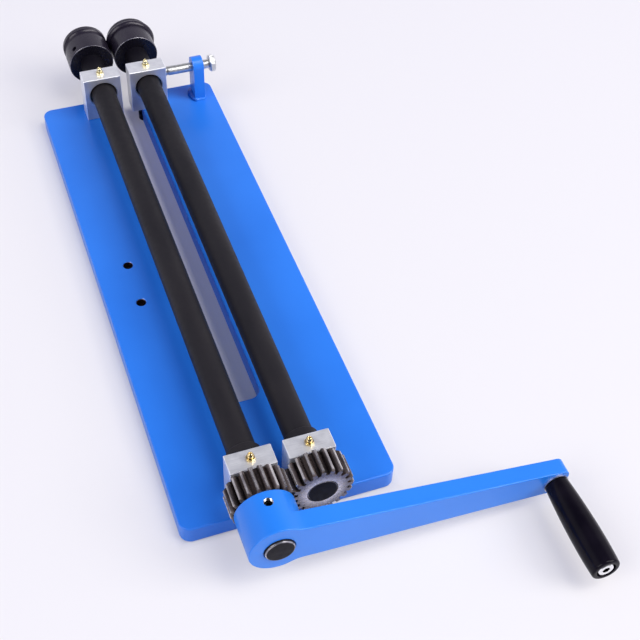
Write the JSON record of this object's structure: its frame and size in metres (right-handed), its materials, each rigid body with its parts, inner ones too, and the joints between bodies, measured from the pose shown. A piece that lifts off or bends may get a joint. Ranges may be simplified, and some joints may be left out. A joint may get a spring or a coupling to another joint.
{
  "type": "bead roller",
  "caption": "Bench bead roller: geared parallel shafts in bearing blocks on a throated base plate, a bead and groove die pair, a hand crank with a revolving grip and an adjusting screw.",
  "frame": {"origin": "centre of the base plate's underside", "axes": "+Y along the shafts from the crank to the dies, +X from the fixed shaft to the adjustable shaft, +Z out of the plate's top"},
  "size_m": [0.3213, 0.7786, 0.077],
  "materials": {
    "blue_paint": "gloss",
    "milled_aluminium": "satin",
    "oiled_bronze": "satin",
    "yellow_brass": "satin",
    "blackened_steel": "satin",
    "gear_steel": "satin",
    "plated_steel": "gloss",
    "black_plastic": "gloss"
  },
  "bodies": {
    "frame": {"base_plate": "blue_paint", "adjuster_lug": "blue_paint", "lug_weld": "blue_paint", "near_fixed_block": "milled_aluminium", "far_fixed_block": "milled_aluminium", "near_fixed_bush": "oiled_bronze", "far_fixed_bush": "oiled_bronze", "near_fixed_nipple": "yellow_brass", "far_fixed_nipple": "yellow_brass", "near_screw_left": "blackened_steel", "near_screw_right": "blackened_steel", "far_screw_left": "blackened_steel", "far_screw_right": "blackened_steel"},
    "upper_carriage": {"near_pivot_block": "milled_aluminium", "far_sliding_block": "milled_aluminium", "near_pivot_bush": "oiled_bronze", "far_sliding_bush": "oiled_bronze", "near_pivot_nipple": "yellow_brass", "far_sliding_nipple": "yellow_brass", "pivot_screw": "blackened_steel", "slide_screw": "blackened_steel"},
    "crank_and_lower_shaft": {"lower_shaft": "blackened_steel", "lower_collar": "blackened_steel", "lower_collar_screw": "blackened_steel", "lower_gear": "gear_steel", "lower_gear_screw": "blackened_steel", "lower_die": "blackened_steel", "lower_die_screw": "blackened_steel", "crank_arm": "blue_paint", "hub_screw": "blackened_steel", "grip_spindle": "plated_steel", "grip_washer": "plated_steel"},
    "upper_shaft_set": {"upper_shaft": "blackened_steel", "upper_collar": "blackened_steel", "upper_collar_screw": "blackened_steel", "upper_gear": "gear_steel", "upper_gear_screw": "blackened_steel", "upper_die": "blackened_steel", "upper_die_screw": "blackened_steel"},
    "grip": {"handle_grip": "black_plastic"},
    "thrust_tip": {"thrust_tip": "plated_steel"},
    "adjusting_screw": {"adjuster_screw": "plated_steel"}
  },
  "joints": [
    {"name": "crank_turn", "type": "hinge", "parent": "frame", "child": "crank_and_lower_shaft", "pos_m": [-0.0303, 0, 0.049], "axis": [0, 1, 0], "continuous": true},
    {"name": "grip_spin", "type": "hinge", "parent": "crank_and_lower_shaft", "child": "grip", "pos_m": [0.21369, -0.3866, 0.02679], "axis": [0, 1, 0], "continuous": true},
    {"name": "head_tilt", "type": "hinge", "parent": "frame", "child": "upper_carriage", "pos_m": [0.0197, -0.26675, 0.0185], "axis": [0, 0, -1], "range_deg": [0, 0.8649]},
    {"name": "adjuster_travel", "type": "slide", "parent": "frame", "child": "thrust_tip", "axis": [1, 0, 0], "range_m": [0, 0.00801]},
    {"name": "adjuster_turn", "type": "hinge", "parent": "thrust_tip", "child": "adjusting_screw", "pos_m": [0.0799, 0.26325, 0.0573], "axis": [1, 0, 0], "range_deg": [0, 1921]},
    {"name": "upper_shaft_turn", "type": "hinge", "parent": "upper_carriage", "child": "upper_shaft_set", "pos_m": [0.0197, 0, 0.049], "axis": [0, 1, 0], "continuous": true}
  ],
  "couplings": [
    {"joint": "upper_shaft_turn", "follows": "crank_turn", "ratio": -1},
    {"joint": "adjuster_travel", "follows": "head_tilt", "m_per_rad": 0.52998},
    {"joint": "adjuster_turn", "follows": "head_tilt", "ratio": 2220}
  ]
}
